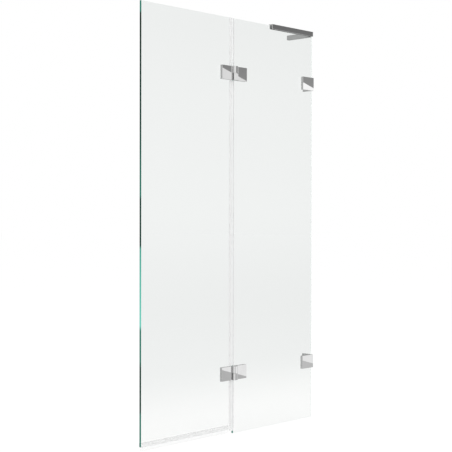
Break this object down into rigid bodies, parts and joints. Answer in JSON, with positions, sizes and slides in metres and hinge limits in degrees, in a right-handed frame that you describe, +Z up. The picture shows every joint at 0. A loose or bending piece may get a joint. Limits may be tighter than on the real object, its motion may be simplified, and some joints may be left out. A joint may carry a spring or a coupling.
{
  "type": "shower screen",
  "caption": "Frameless glass bath screen: a pane clamped to the wall, a door pane on square chrome hinges, clear seals and a bent stabiliser bar.",
  "frame": {"origin": "on the wall plane, in the middle of the glass thickness, at the level of the bath rim", "axes": "+X runs along the screen into the wall, +Y points away from the hinge side of the glass, +Z is up"},
  "size_m": [0.9, 0.1407, 1.505],
  "materials": {
    "glass": "clear toughened glass with polished green edges",
    "polished_chrome": "polished chrome plate",
    "stainless_steel": "turned stainless steel",
    "clear_seal": "clear extruded vinyl, slightly cloudy",
    "clear_gasket": "clear soft vinyl sheet",
    "nylon": "natural moulded nylon",
    "dark_rubber": "dark grey-green extruded rubber"
  },
  "bodies": {
    "fixed_screen": {"fixed_glass": "glass", "stabiliser_arm": "polished_chrome", "upper_hinge_fixed_leaf": "polished_chrome", "upper_wall_bracket": "polished_chrome", "upper_clamp_plate": "polished_chrome", "lower_hinge_fixed_leaf": "polished_chrome", "lower_wall_bracket": "polished_chrome", "lower_clamp_plate": "polished_chrome", "hinge_fixed_screws": "polished_chrome", "clamp_screws": "polished_chrome", "upper_hinge_pin": "stainless_steel", "lower_hinge_pin": "stainless_steel", "stabiliser_wall_plate": "stainless_steel", "stabiliser_set_screws": "stainless_steel", "wall_seal": "clear_seal", "upper_hinge_fixed_gasket": "clear_gasket", "upper_clamp_gasket": "clear_gasket", "upper_bracket_gasket": "clear_gasket", "lower_hinge_fixed_gasket": "clear_gasket", "lower_clamp_gasket": "clear_gasket", "lower_bracket_gasket": "clear_gasket", "hinge_fixed_sleeves": "clear_gasket", "clamp_sleeves": "clear_gasket", "stabiliser_liner": "dark_rubber"},
    "door": {"door_glass": "glass", "hinge_door_sleeves": "clear_gasket", "hinge_door_screws": "polished_chrome", "hinge_edge_seal": "clear_seal", "bottom_seal": "clear_seal", "upper_hinge_door_leaf": "polished_chrome", "upper_hinge_door_gasket": "clear_gasket", "upper_hinge_bush": "nylon", "lower_hinge_door_leaf": "polished_chrome", "lower_hinge_door_gasket": "clear_gasket", "lower_hinge_bush": "nylon"}
  },
  "joints": [
    {"name": "door_swing", "type": "hinge", "parent": "fixed_screen", "child": "door", "pos_m": [-0.4545, -0.018, 0.76], "axis": [0, 0, 1], "range_deg": [0, 180]}
  ]
}
